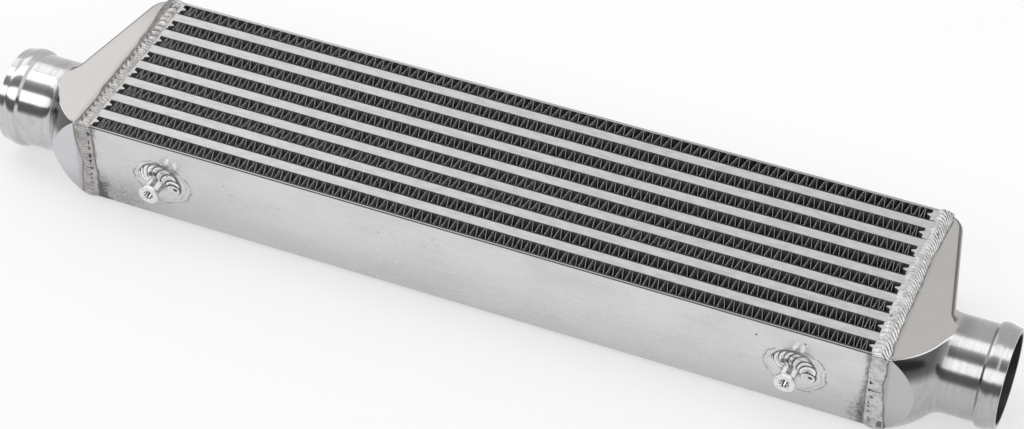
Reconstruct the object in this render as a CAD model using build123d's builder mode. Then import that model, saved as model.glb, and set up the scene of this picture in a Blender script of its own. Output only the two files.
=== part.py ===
from build123d import *
from math import cos, hypot, radians, sin, tan
import os

# A front-mount charge-air cooler: a brazed bar-and-plate core between two cast end tanks.
#
# X runs along the core from tank to tank, Y across the stack of rows, and Z through the core,
# the way the cooling air blows. The origin is the centre of the core's lower face, so the core
# fills z = 0 to CORE_DEPTH. Rows alternate from front (-Y) to back (+Y): a cooling row of folded
# fin closed by end bars, a parting sheet, a charge-air row closed by long face bars, a sheet,
# and so on, between two side plates. Every length is in millimetres and every angle in degrees.

# Core
CORE_LENGTH = 553.0
CORE_DEPTH = 63.5
COOLING_ROWS = 8
CHARGE_ROWS = COOLING_ROWS - 1
COOLING_ROW_HEIGHT = 9.5
CHARGE_ROW_HEIGHT = 6.8
SHEET_GAUGE = 0.8
SIDE_PLATE_GAUGE = 2.4
SIDE_PLATE_EDGE_RADIUS = 0.7

# Closing bars: a rectangular body with a nose that keeps the folded fin off it
BAR_WIDTH = 7.2
BAR_NOSE = 3.0
BAR_NOSE_ROOT = 0.62  # share of the bar's height
BAR_NOSE_TIP = 0.2  # share of the bar's height

# Folded fins
COOLING_FIN_GAUGE = 0.2
COOLING_FIN_WAVES = (88, 84, 87, 84, 86, 87, 82, 83)  # front row first: each strip settled differently
COOLING_FIN_INSET = 0.5  # below each face of the core
CHARGE_FIN_GAUGE = 0.25
CHARGE_FIN_WAVES = 6
CHARGE_FIN_SETBACK = 3.0  # from each end of the core
FIN_CLEARANCE = 0.3  # to the noses of the bars

# End tanks
OVERALL_LENGTH = 698.5
TANK_WALL = 3.0
TANK_WALL_SLOPE = 12.1  # the end wall's lean from the stack direction
TANK_DEPTH_AT_SPIGOT = 34.1  # from the core to the end wall, on the spigot's axis
TANK_CORNER_RADIUS = 15.0
TANK_EDGE_RADIUS = 4.0
SPIGOT_RADIUS = 31.75
SPIGOT_FROM_FRONT = 42.0  # from the core's front to the spigot's axis
SHOULDER_RADIUS = 70.0  # convex part of the flare from tank to spigot
SHOULDER_END_ANGLE = 75.5  # where the convex part runs out, behind the seam
THROAT_RADIUS = 12.0  # concave part of the flare
THROAT_ANGLE = 46.6  # slope where the two parts meet
THROAT_END = 39.1  # from the core to where the flare becomes the spigot
NECK_RADIUS = 10.0  # fillet from the end wall to the spigot, on the back
NECK_SINK = 1.0  # how deep the fillet's rim lies in the wall

# Rolled bead at the spigot's mouth: radii, and distances back from the mouth
BEAD_FOOT = 14.3
BEAD_SHOULDER = 12.6
BEAD_SHOULDER_RADIUS = 33.6
BEAD_CREST = 9.3
BEAD_CREST_RADIUS = 34.25
BEAD_TAIL = 4.5
BEAD_TAIL_RADIUS = 33.3
LIP_RADIUS = 32.5

# Welds around the two seams
WELD_HEIGHT = 2.0
WELD_WIDTH_ON_FACES = 9.0
WELD_WIDTH_ON_SIDES = 14.0
WELD_ROOT = 1.5  # how far the weld may reach below the core's outline, where the tank is rounded

# Tapped mounting bosses on the front plate, and the welds at their feet
BOSS_SPACING = 443.0
BOSS_HEIGHT = 15.0
BOSS_BODY_RADIUS = 5.2
BOSS_FOOT_RADIUS = 6.4
BOSS_FOOT_HEIGHT = 3.2
BOSS_FOOT_TAPER = 1.0
BOSS_HEAD_RADIUS = 7.2
BOSS_HEAD_HEIGHT = 2.4
BOSS_NECK_HEIGHT = 1.6
BOSS_HOLE_RADIUS = 2.5  # tapped M6
BOSS_HOLE_DEPTH = 12.0
BOSS_WELD_RADIUS = 14.5
BOSS_WELD_HEIGHT = 2.6
BOSS_WELD_CROWN = 0.72  # height of the weld halfway out, as a share of its height at the boss

# Worked out from the above
SEAM = CORE_LENGTH / 2
ROW_PITCH = COOLING_ROW_HEIGHT + CHARGE_ROW_HEIGHT + 2 * SHEET_GAUGE
CORE_HEIGHT = CHARGE_ROWS * ROW_PITCH + COOLING_ROW_HEIGHT + 2 * SIDE_PLATE_GAUGE
FRONT = -CORE_HEIGHT / 2
BACK = CORE_HEIGHT / 2
MOUTH = OVERALL_LENGTH / 2
AXIS_Y = FRONT + SPIGOT_FROM_FRONT
AXIS_Z = CORE_DEPTH / 2
BORE_RADIUS = SPIGOT_RADIUS - TANK_WALL

SPIGOT_AXIS = Axis((0, AXIS_Y, AXIS_Z), (1, 0, 0))
SPIGOT_PLANE = Plane(origin=(0, AXIS_Y, AXIS_Z), x_dir=(1, 0, 0), z_dir=(0, -1, 0))


def cooling_row_low(row):
    """Lower Y of cooling row 0, 1, ... counted from the front."""
    return FRONT + SIDE_PLATE_GAUGE + row * ROW_PITCH


def charge_row_low(row):
    """Lower Y of charge-air row 0, 1, ... counted from the front."""
    return cooling_row_low(row) + COOLING_ROW_HEIGHT + SHEET_GAUGE


# ---------------------------------------------------------------- core


def folded_outline(start, end, low, high, waves, gauge):
    """Closed outline of a strip of that gauge, folded in straight legs between low and high.

    The fold's middle line zigzags from start to end. Moving it along the rise, by half the
    gauge over the leg's slope, gives two parallel edges that are one gauge apart.
    """
    half_wave = (end - start) / (2 * waves)
    shift = gauge / 2 * hypot(half_wave, high - low) / half_wave
    folds = [
        (start + i * half_wave, low + shift if i % 2 == 0 else high - shift)
        for i in range(2 * waves + 1)
    ]
    upper = [(run, across + shift) for run, across in folds]
    lower = [(run, across - shift) for run, across in reversed(folds)]
    return upper + lower


def cooling_fin(row):
    """Folded fin of one cooling row, open to both faces of the core."""
    reach = SEAM - BAR_WIDTH - BAR_NOSE - FIN_CLEARANCE
    low = cooling_row_low(row)
    high = low + COOLING_ROW_HEIGHT
    outline = folded_outline(-reach, reach, low, high, COOLING_FIN_WAVES[row], COOLING_FIN_GAUGE)
    with BuildPart() as fin:
        with BuildSketch(Plane.XY.offset(COOLING_FIN_INSET)):
            with BuildLine():
                Polyline(*outline, close=True)
            make_face()
        extrude(amount=CORE_DEPTH - 2 * COOLING_FIN_INSET)
    return fin


def charge_fin(row):
    """Folded fin inside one charge-air row, open to both tanks."""
    reach = SEAM - CHARGE_FIN_SETBACK
    inset = BAR_WIDTH + BAR_NOSE + FIN_CLEARANCE
    low = charge_row_low(row)
    high = low + CHARGE_ROW_HEIGHT
    outline = folded_outline(inset, CORE_DEPTH - inset, low, high, CHARGE_FIN_WAVES, CHARGE_FIN_GAUGE)
    with BuildPart() as fin:
        with BuildSketch(Plane.YZ.offset(-reach)):
            with BuildLine():
                Polyline(*[(across, run) for run, across in outline], close=True)
            make_face()
        extrude(amount=2 * reach)
    return fin


def closing_bar_outline(height):
    """Closed outline of a bar: its outer face lies on u = 0 and its nose points to +u."""
    half = height / 2
    root = half * BAR_NOSE_ROOT
    tip = half * BAR_NOSE_TIP
    nose_end = BAR_WIDTH + BAR_NOSE
    return [
        (0, -half),
        (BAR_WIDTH, -half),
        (BAR_WIDTH, -root),
        (nose_end, -tip),
        (nose_end, tip),
        (BAR_WIDTH, root),
        (BAR_WIDTH, half),
        (0, half),
    ]


def end_bars(side):
    """The bars that close the cooling rows at one end: side is -1 or 1 along X."""
    with BuildPart() as bars:
        for row in range(COOLING_ROWS):
            middle = cooling_row_low(row) + COOLING_ROW_HEIGHT / 2
            foot = Plane(origin=(side * SEAM, middle, 0), x_dir=(-side, 0, 0), z_dir=(0, 0, 1))
            with BuildSketch(foot):
                with BuildLine():
                    Polyline(*closing_bar_outline(COOLING_ROW_HEIGHT), close=True)
                make_face()
            extrude(amount=CORE_DEPTH)
    return bars


def face_bar(row, face_z, inward):
    """The long bar that closes one charge-air row at the face z = face_z; inward is -1 or 1."""
    middle = charge_row_low(row) + CHARGE_ROW_HEIGHT / 2
    foot = Plane(origin=(-SEAM, middle, face_z), x_dir=(0, 0, inward), z_dir=(1, 0, 0))
    with BuildPart() as bar:
        with BuildSketch(foot):
            with BuildLine():
                Polyline(*closing_bar_outline(CHARGE_ROW_HEIGHT), close=True)
            make_face()
        extrude(amount=CORE_LENGTH)
    return bar


def parting_sheet(low):
    """Flat sheet between two rows, from y = low."""
    with BuildPart() as sheet:
        with BuildSketch():
            with Locations((0, low + SHEET_GAUGE / 2)):
                Rectangle(CORE_LENGTH, SHEET_GAUGE)
        extrude(amount=CORE_DEPTH)
    return sheet


def side_plate(side):
    """Outer plate of the stack: side is -1 for the front and 1 for the back."""
    with BuildPart() as plate:
        with BuildSketch():
            with Locations((0, side * (BACK - SIDE_PLATE_GAUGE / 2))):
                Rectangle(CORE_LENGTH, SIDE_PLATE_GAUGE)
        extrude(amount=CORE_DEPTH)
        outer_face = plate.faces().sort_by(Axis.Y)[0 if side < 0 else -1]
        fillet(outer_face.edges().filter_by(Axis.X), SIDE_PLATE_EDGE_RADIUS)
    return plate


# ---------------------------------------------------------------- end tank, drawn at +X


def plenum(inset, overrun):
    """The tank's back part, as a block between its two flat faces with a rounded back corner.

    It is moved in by inset, and run on by overrun past the seam and the spigot's axis.
    """
    lean = tan(radians(TANK_WALL_SLOPE))
    depth = TANK_DEPTH_AT_SPIGOT - inset / cos(radians(TANK_WALL_SLOPE))
    back = BACK - inset
    near = AXIS_Y - overrun
    with BuildPart() as block:
        with BuildSketch(Plane.XY.offset(inset)):
            with BuildLine():
                Polyline(
                    (SEAM - overrun, near),
                    (SEAM - overrun, back),
                    (SEAM + depth - (back - AXIS_Y) * lean, back),
                    (SEAM + depth + overrun * lean, near),
                    close=True,
                )
            make_face()
        extrude(amount=CORE_DEPTH - 2 * inset)
        back_corner = block.edges().filter_by(Axis.Z).group_by(Axis.Y)[-1].sort_by(Axis.X)[-1]
        fillet(back_corner, TANK_CORNER_RADIUS - inset)
    return block


def flare(inset, overrun):
    """The trumpet from the tank's front part to the spigot, turned about the spigot's axis.

    Its outline is a convex shoulder and a concave throat that share a tangent at THROAT_ANGLE.
    It is kept in front of the axis, inside the core's own height and depth.
    """
    throat_x = SEAM + THROAT_END
    meet_x = throat_x - THROAT_RADIUS * sin(radians(THROAT_ANGLE))
    meet_r = SPIGOT_RADIUS + THROAT_RADIUS * (1 - cos(radians(THROAT_ANGLE)))
    shoulder_x = meet_x - SHOULDER_RADIUS * sin(radians(THROAT_ANGLE))
    shoulder_r = meet_r - SHOULDER_RADIUS * cos(radians(THROAT_ANGLE))
    shoulder_start = 90 - THROAT_ANGLE
    with BuildPart() as trumpet:
        with BuildSketch(SPIGOT_PLANE):
            with BuildLine():
                throat = CenterArc(
                    (throat_x, SPIGOT_RADIUS + THROAT_RADIUS),
                    THROAT_RADIUS + inset,
                    270,
                    -THROAT_ANGLE,
                )
                shoulder = CenterArc(
                    (shoulder_x, shoulder_r),
                    SHOULDER_RADIUS - inset,
                    shoulder_start,
                    SHOULDER_END_ANGLE - shoulder_start,
                )
                Polyline(shoulder @ 1, ((shoulder @ 1).X, 0), (throat_x, 0), throat @ 0)
            make_face()
        revolve(axis=SPIGOT_AXIS)
        with BuildSketch(Plane.XY.offset(inset)):
            with BuildLine():
                Polyline(
                    (SEAM - overrun, FRONT + inset),
                    (throat_x + THROAT_RADIUS, FRONT + inset),
                    (throat_x + THROAT_RADIUS, AXIS_Y),
                    (SEAM - overrun, AXIS_Y),
                    close=True,
                )
            make_face()
        extrude(amount=CORE_DEPTH - 2 * inset, mode=Mode.INTERSECT)
    return trumpet


def neck():
    """The fillet between the leaning end wall and the spigot, behind the axis.

    It is turned about the spigot's axis and starts where its rim meets the wall at the very
    back, so the leaning wall buries more and more of it towards the two flat faces.
    """
    rim_radius = SPIGOT_RADIUS + NECK_RADIUS
    start = SEAM + TANK_DEPTH_AT_SPIGOT - rim_radius * tan(radians(TANK_WALL_SLOPE)) - NECK_SINK
    end = start + NECK_RADIUS
    with BuildPart() as ring:
        with BuildSketch(SPIGOT_PLANE):
            with BuildLine():
                curve = CenterArc((end, rim_radius), NECK_RADIUS, 180, 90)
                Polyline(curve @ 1, (end, 0), (start, 0), curve @ 0)
            make_face()
        revolve(axis=SPIGOT_AXIS)
        with BuildSketch():
            with Locations((start, AXIS_Y)):
                Rectangle(NECK_RADIUS, rim_radius, align=(Align.MIN, Align.MIN))
        extrude(amount=CORE_DEPTH, mode=Mode.INTERSECT)
    return ring


def spigot():
    """The round hose spigot with its rolled bead, as a solid bar on its axis."""
    with BuildPart() as bar:
        with BuildSketch(SPIGOT_PLANE):
            with BuildLine():
                barrel = Polyline(
                    (SEAM + TANK_WALL, 0),
                    (SEAM + TANK_WALL, SPIGOT_RADIUS),
                    (MOUTH - BEAD_FOOT, SPIGOT_RADIUS),
                    (MOUTH - BEAD_SHOULDER, BEAD_SHOULDER_RADIUS),
                )
                crest = ThreePointArc(
                    barrel @ 1,
                    (MOUTH - BEAD_CREST, BEAD_CREST_RADIUS),
                    (MOUTH - BEAD_TAIL, BEAD_TAIL_RADIUS),
                )
                Polyline(crest @ 1, (MOUTH, LIP_RADIUS), (MOUTH, 0), barrel @ 0)
            make_face()
        revolve(axis=SPIGOT_AXIS)
    return bar


def end_tank():
    """One cast tank: plenum, flare and spigot with a wall of even thickness, open to the core."""
    with BuildPart() as tank:
        add(plenum(0, 0).part)
        end_wall = tank.faces().filter_by(GeomType.PLANE).sort_by(Axis.X)[-1]
        fillet(end_wall.edges().filter_by(Axis.Z, reverse=True), TANK_EDGE_RADIUS)
        add(flare(0, 0).part)
        add(neck().part)
        add(spigot().part)
        add(plenum(TANK_WALL, TANK_WALL).part, mode=Mode.SUBTRACT)
        add(flare(TANK_WALL, TANK_WALL).part, mode=Mode.SUBTRACT)
        with BuildSketch(Plane.YZ.offset(SEAM + TANK_WALL)):
            with Locations((AXIS_Y, AXIS_Z)):
                Circle(BORE_RADIUS)
        extrude(amount=MOUTH - SEAM, mode=Mode.SUBTRACT)
    return tank


# ---------------------------------------------------------------- welds and bosses


def crowned_section(depth, width, stretch):
    """Section of a bar of that depth and stretch wide, with a round weld crown on either end.

    It is centred on u = 0 and starts at v = 0. The crowns are width wide.
    """
    with BuildSketch() as section:
        with Locations((0, depth / 2)):
            Rectangle(stretch, depth)
        for end, out in ((0, -1), (depth, 1)):
            with BuildLine():
                crown = ThreePointArc((-width / 2, end), (0, end + out * WELD_HEIGHT), (width / 2, end))
                Line(crown @ 1, crown @ 0)
            make_face()
    return section.sketch


def seam_weld(tank):
    """The weld all round the seam at +X, seated on the core and on that tank.

    Two crowned bars crossing each other leave a crown on all four sides, mitred at the corners.
    """
    across = Plane(origin=(SEAM, BACK + WELD_HEIGHT, 0), x_dir=(1, 0, 0), z_dir=(0, -1, 0))
    upright = Plane(origin=(SEAM, FRONT, -WELD_HEIGHT), x_dir=(1, 0, 0), z_dir=(0, 0, 1))
    with BuildPart() as weld:
        with BuildSketch(across):
            add(crowned_section(CORE_DEPTH, WELD_WIDTH_ON_FACES, WELD_WIDTH_ON_SIDES))
        extrude(amount=CORE_HEIGHT + 2 * WELD_HEIGHT)
        with BuildSketch(upright):
            add(crowned_section(CORE_HEIGHT, WELD_WIDTH_ON_SIDES, WELD_WIDTH_ON_SIDES))
        extrude(amount=CORE_DEPTH + 2 * WELD_HEIGHT, mode=Mode.INTERSECT)
        with BuildSketch(Plane.YZ.offset(-SEAM)):
            with Locations((0, AXIS_Z)):
                Rectangle(CORE_HEIGHT, CORE_DEPTH)
        extrude(amount=CORE_LENGTH, mode=Mode.SUBTRACT)
        with BuildSketch(Plane.YZ.offset(SEAM)):
            with Locations((0, AXIS_Z)):
                Rectangle(CORE_HEIGHT - 2 * WELD_ROOT, CORE_DEPTH - 2 * WELD_ROOT)
        extrude(amount=WELD_WIDTH_ON_SIDES, mode=Mode.SUBTRACT)
        add(tank.part, mode=Mode.SUBTRACT)
    return weld


def boss_plane(side):
    """Plane through a boss's axis: u along X, and -v out of the front plate."""
    return Plane(origin=(side * BOSS_SPACING / 2, FRONT, AXIS_Z), x_dir=(1, 0, 0), z_dir=(0, 0, 1))


def boss_axis(side):
    """Axis of a boss, out of the front plate."""
    return Axis((side * BOSS_SPACING / 2, FRONT, AXIS_Z), (0, -1, 0))


def threaded_boss(side):
    """A turned boss with a blind tapped hole and a wider head."""
    head_foot = BOSS_HEIGHT - BOSS_HEAD_HEIGHT
    with BuildPart() as boss:
        with BuildSketch(boss_plane(side)):
            with BuildLine():
                Polyline(
                    (0, 0),
                    (BOSS_FOOT_RADIUS, 0),
                    (BOSS_FOOT_RADIUS, -BOSS_FOOT_HEIGHT),
                    (BOSS_BODY_RADIUS, -BOSS_FOOT_HEIGHT - BOSS_FOOT_TAPER),
                    (BOSS_BODY_RADIUS, BOSS_NECK_HEIGHT - head_foot),
                    (BOSS_HEAD_RADIUS, -head_foot),
                    (BOSS_HEAD_RADIUS, -BOSS_HEIGHT),
                    (BOSS_HOLE_RADIUS, -BOSS_HEIGHT),
                    (BOSS_HOLE_RADIUS, BOSS_HOLE_DEPTH - BOSS_HEIGHT),
                    (0, BOSS_HOLE_DEPTH - BOSS_HEIGHT),
                    close=True,
                )
            make_face()
        revolve(axis=boss_axis(side))
    return boss


def boss_weld(side):
    """The fillet weld round the foot of a boss."""
    middle = (BOSS_FOOT_RADIUS + BOSS_WELD_RADIUS) / 2
    with BuildPart() as weld:
        with BuildSketch(boss_plane(side)):
            with BuildLine():
                foot = Polyline(
                    (BOSS_FOOT_RADIUS, -BOSS_WELD_HEIGHT),
                    (BOSS_FOOT_RADIUS, 0),
                    (BOSS_WELD_RADIUS, 0),
                )
                ThreePointArc(foot @ 1, (middle, -BOSS_WELD_CROWN * BOSS_WELD_HEIGHT), foot @ 0)
            make_face()
        revolve(axis=boss_axis(side))
    return weld


# ---------------------------------------------------------------- the pieces


def keep(piece, name):
    """Label a finished piece and write its file."""
    piece.part.label = name
    export_step(piece.part, f"parts/{name}.step")


os.makedirs("parts", exist_ok=True)

keep(side_plate(-1), "side_plate_front")
keep(side_plate(1), "side_plate_back")

for row in range(COOLING_ROWS):
    keep(cooling_fin(row), f"cooling_fin_{row + 1}")

for row in range(CHARGE_ROWS):
    keep(charge_fin(row), f"charge_fin_{row + 1}")
    keep(face_bar(row, CORE_DEPTH, -1), f"face_bar_top_{row + 1}")
    keep(face_bar(row, 0, 1), f"face_bar_bottom_{row + 1}")
    keep(parting_sheet(charge_row_low(row) - SHEET_GAUGE), f"parting_sheet_{2 * row + 1:02d}")
    keep(parting_sheet(charge_row_low(row) + CHARGE_ROW_HEIGHT), f"parting_sheet_{2 * row + 2:02d}")

keep(end_bars(-1), "end_bars_left")
keep(end_bars(1), "end_bars_right")

tank_right = end_tank()
with BuildPart() as tank_left:
    mirror(tank_right.part, about=Plane.YZ)
keep(tank_right, "tank_right")
keep(tank_left, "tank_left")

tank_weld_right = seam_weld(tank_right)
with BuildPart() as tank_weld_left:
    mirror(tank_weld_right.part, about=Plane.YZ)
keep(tank_weld_right, "tank_weld_right")
keep(tank_weld_left, "tank_weld_left")

keep(threaded_boss(-1), "threaded_boss_left")
keep(threaded_boss(1), "threaded_boss_right")
keep(boss_weld(-1), "boss_weld_left")
keep(boss_weld(1), "boss_weld_right")
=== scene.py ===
import math

import bpy
import numpy as np
from mathutils import Matrix, Vector


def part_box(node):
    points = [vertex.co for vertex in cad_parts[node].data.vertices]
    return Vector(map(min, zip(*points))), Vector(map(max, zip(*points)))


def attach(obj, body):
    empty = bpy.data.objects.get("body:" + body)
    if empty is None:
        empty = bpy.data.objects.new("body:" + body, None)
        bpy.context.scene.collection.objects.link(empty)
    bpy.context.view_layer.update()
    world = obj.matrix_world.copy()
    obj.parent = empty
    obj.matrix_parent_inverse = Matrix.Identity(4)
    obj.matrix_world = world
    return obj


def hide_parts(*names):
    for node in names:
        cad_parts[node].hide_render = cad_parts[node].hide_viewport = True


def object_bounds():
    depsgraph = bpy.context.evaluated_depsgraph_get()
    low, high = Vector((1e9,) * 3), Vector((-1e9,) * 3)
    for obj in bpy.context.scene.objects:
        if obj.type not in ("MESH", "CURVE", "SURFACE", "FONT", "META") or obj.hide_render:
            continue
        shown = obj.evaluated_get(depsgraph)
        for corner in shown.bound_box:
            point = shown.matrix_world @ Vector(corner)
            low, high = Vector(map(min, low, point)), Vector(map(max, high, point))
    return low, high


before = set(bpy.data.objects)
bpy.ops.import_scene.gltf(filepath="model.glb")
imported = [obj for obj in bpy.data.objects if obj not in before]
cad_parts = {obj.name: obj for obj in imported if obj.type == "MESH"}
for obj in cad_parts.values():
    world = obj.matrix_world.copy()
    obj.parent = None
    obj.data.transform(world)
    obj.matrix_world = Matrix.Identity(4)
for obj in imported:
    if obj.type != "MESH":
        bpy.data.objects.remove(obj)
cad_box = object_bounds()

# Finishes and fine forms of a bar-and-plate charge-air cooler: folded fins with rounded crests,
# rippled weld beads, tapped bosses, and a brushed, cast, polished or sooted skin on every piece.
# Shapes are worked out in millimetres in the frame of the solids and scaled to metres at the end.

MM = 0.001
HANDS = {-1: "left", 1: "right"}


def box_of(node):
    """The lowest and the highest corner of a solid in millimetres, to the hundredth."""
    return [[round(place / MM, 2) for place in corner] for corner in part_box(node)]


# The core: its plates, its seams with the tanks at x = -SEAM and SEAM, and the spigots' axis
(_, FRONT, _), (SEAM, FIRST_ROW, DEPTH) = box_of("side_plate_front")
BACK = -FRONT
AXIS_Y, AXIS_Z = FRONT + 42.0, DEPTH / 2

# The folded fins of the cooling rows, front row first
FIN_WAVES = (88, 84, 87, 84, 86, 87, 82, 83)
ROWS = len(FIN_WAVES)
(_, _, FIN_LOW), (FIN_REACH, row_end, FIN_TOP) = box_of("cooling_fin_1")
ROW_HEIGHT = round(row_end - FIRST_ROW, 2)
ROW_PITCH = round((-2 * FIRST_ROW - ROW_HEIGHT) / (ROWS - 1), 2)
ROW_MIDDLES = FIRST_ROW + ROW_HEIGHT / 2 + ROW_PITCH * np.arange(ROWS)
FIN_GAUGE = 0.17
# How far each row's rising and falling walls lean along x
FIN_LEANS = (
    (0.6, 2.2), (0.7, 2.2), (1.8, 1.3), (1.6, 2.0), (0.4, 2.5), (0.7, 2.4), (0.5, 2.2), (1.8, 2.0),
)
# One wave of twelve points: parts of the crest, the rising wall and the falling wall passed by each
FOLD_X = np.array(
    [
        [0.0, 0.4, 0.5, 0.5, 0.5, 0.6, 1.0, 1.4, 1.5, 1.5, 1.5, 1.6],
        [0.0, 0.0, 0.03, 0.5, 0.97, 1.0, 1.0, 1.0, 1.0, 1.0, 1.0, 1.0],
        [0.0, 0.0, 0.0, 0.0, 0.0, 0.0, 0.0, 0.0, 0.03, 0.5, 0.97, 1.0],
    ]
)
FOLD_Y = np.array([-1.0, -0.975, -0.9, 0.0, 0.9, 0.975, 1.0, 0.975, 0.9, 0.0, -0.9, -0.975])
# Folds painted bright and metallic, as if knocked open so that their walls caught the light: row, x, reach
# and amount
PAINTED_LIT_FOLDS = (
    (1, -250.0, 13.0, 0.9), (3, 263.0, 3.0, 1.0), (6, -260.0, 4.0, 0.5), (7, 187.0, 1.6, 0.8),
    (8, 258.0, 7.0, 1.0), (2, 262.0, 3.0, 0.6), (5, 262.0, 4.0, 0.5),
)

# The bosses, out of the front plate at x = -BOSS_X and BOSS_X
BOSS_HEAD = 7.2
BOSS_X = round(box_of("threaded_boss_right")[1][0] - BOSS_HEAD, 2)
HOLE_RADIUS, THREAD_DEPTH, THREAD_PITCH = 2.5, 0.55, 1.0

# Painted light strokes on the front plate, where the bosses' necks throw lamp light onto it: x, z and how
# far they lean along x
PAINTED_LIGHT_STROKES = ((-213.7, 51.5, 0.43), (-207.8, 50.0, 0.09), (222.8, 51.3, 0.4), (227.3, 50.3, 0.1))
# Dents and specks of the front plate: x, z and size
SPECKS = (
    (197.0, 51.7, 0.95), (228.7, 55.5, 0.8), (-60.5, 44.0, 0.55), (-22.0, 51.5, 0.45),
    (-28.0, 43.0, 0.45), (-172.0, 45.0, 0.5), (-168.0, 38.0, 0.5), (86.0, 22.0, 0.4),
)

# Shades that several finishes share: a near black, and the white of painted highlights
NEAR_BLACK, PAINTED_HIGHLIGHT_WHITE = 0.06, 0.97


# ---------------------------------------------------------------- meshes


def grid_quads(rows, columns, wrap_rows=False, wrap_columns=False):
    """Quads of a grid of points numbered row by row, joined round where a direction wraps."""
    row, column = np.meshgrid(
        np.arange(rows if wrap_rows else rows - 1),
        np.arange(columns if wrap_columns else columns - 1),
        indexing="ij",
    )
    below, beside = (row + 1) % rows, (column + 1) % columns
    corners = (
        row * columns + column,
        row * columns + beside,
        below * columns + beside,
        below * columns + column,
    )
    return np.stack(corners, axis=-1).reshape(-1, 4)


def disc_quads(ring):
    """Quads side by side across a flat ring of an even number of points."""
    step = np.arange(len(ring) // 2 - 1)
    return np.stack((ring[step], ring[step + 1], ring[-2 - step], ring[-1 - step]), axis=-1)


def capped_strip(edges):
    """Points and quads of a bar with four long edges, each given as its x, y and z, and two ends."""
    points = np.stack([np.stack(edge, axis=-1) for edge in edges], axis=1).reshape(-1, 3)
    last = len(points) - 4
    ends = [[3, 2, 1, 0], [last, last + 1, last + 2, last + 3]]
    return points, np.vstack((grid_quads(len(points) // 4, 4, wrap_columns=True), ends))


def enclosed(points, quads):
    """Volume inside closed quads: a sixth of the triple product of each triangle's corners."""
    a, b, c, d = (points[quads[:, k]] for k in range(4))
    return (np.einsum("ij,ij->", a, np.cross(b, c)) + np.einsum("ij,ij->", a, np.cross(c, d))) / 6


def make_piece(name, points, quads, finish, node, marks=None, crease=38):
    """A piece from points in millimetres and quads, facing outwards, that stands for a CAD node.

    Marks are values painted on the points, and edges sharper than crease degrees stay sharp.
    """
    points = points.reshape(-1, 3)
    if enclosed(points, quads) < 0:
        quads = quads[:, ::-1]
    mesh = bpy.data.meshes.new(name)
    mesh.from_pydata((points * MM).tolist(), [], quads.tolist())
    mesh.shade_smooth()
    mesh.set_sharp_from_angle(angle=math.radians(crease))
    for label, values in (marks or {}).items():
        painted = mesh.attributes.new(label, "FLOAT", "POINT")
        painted.data.foreach_set("value", values.ravel().astype(np.float32))
    mesh.materials.append(finish)
    piece = bpy.data.objects.new(name, mesh)
    bpy.context.scene.collection.objects.link(piece)
    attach(piece, "root")
    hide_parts(node)


def smooth(low, high, value):
    """Smoothstep: 0 below low, 1 above high, and 3t^2 - 2t^3 between."""
    t = np.clip((value - low) / (high - low), 0, 1)
    return t * t * (3 - 2 * t)


def wander(turn, seed, waves):
    """A closed random drift over one turn from 0 to 1: a sum of sines that fade with frequency."""
    draw = np.random.default_rng(seed)
    order = np.arange(1, waves + 1)
    size = draw.normal(size=waves) / order**0.5
    start = draw.uniform(0, 2 * np.pi, waves)
    drift = np.sin(2 * np.pi * np.multiply.outer(turn, order) + start) @ size
    return drift / np.sqrt((size**2).sum() / 2)


def lumps(u, v, seed, wrap_u, wrap_v=64):
    """Random value at each lattice point, blended smoothly between them; both ways wrap round."""
    draw = np.random.default_rng(seed).uniform(-1, 1, (wrap_u, wrap_v))
    i, j = np.floor(u).astype(int), np.floor(v).astype(int)
    p, q = smooth(0, 1, u - i), smooth(0, 1, v - j)
    i0, i1, j0, j1 = i % wrap_u, (i + 1) % wrap_u, j % wrap_v, (j + 1) % wrap_v
    low = draw[i0, j0] * (1 - p) + draw[i1, j0] * p
    high = draw[i0, j1] * (1 - p) + draw[i1, j1] * p
    return low * (1 - q) + high * q


# ---------------------------------------------------------------- shader maths


class Wire:
    """An output of a material's node; Python's operators on wires and numbers add Math nodes."""

    def __init__(self, finish, socket):
        self.finish = finish
        self.socket = socket

    def __add__(self, other):
        return self.finish.maths("ADD", self, other)

    __radd__ = __add__

    def __mul__(self, other):
        return self.finish.maths("MULTIPLY", self, other)

    __rmul__ = __mul__

    def __sub__(self, other):
        return self.finish.maths("SUBTRACT", self, other)

    def __rsub__(self, other):
        return self.finish.maths("SUBTRACT", other, self)

    def __truediv__(self, other):
        return self.finish.maths("DIVIDE", self, other)

    def __abs__(self):
        return self.finish.maths("ABSOLUTE", self)

    def root(self):
        return self.finish.maths("SQRT", self)

    def fraction(self):
        return self.finish.maths("FRACT", self)

    def lower_of(self, other):
        return self.finish.maths("MINIMUM", self, other)

    def higher_of(self, other):
        return self.finish.maths("MAXIMUM", self, other)

    def rise(self, low, high):
        """0 where the wire is below low, 1 above high, smooth between; falls if low > high."""
        values = {0: self, 1: low, 2: high, 3: 0.0, 4: 1.0}
        return self.finish.node("ShaderNodeMapRange", {"interpolation_type": "SMOOTHSTEP"}, values)


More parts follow.
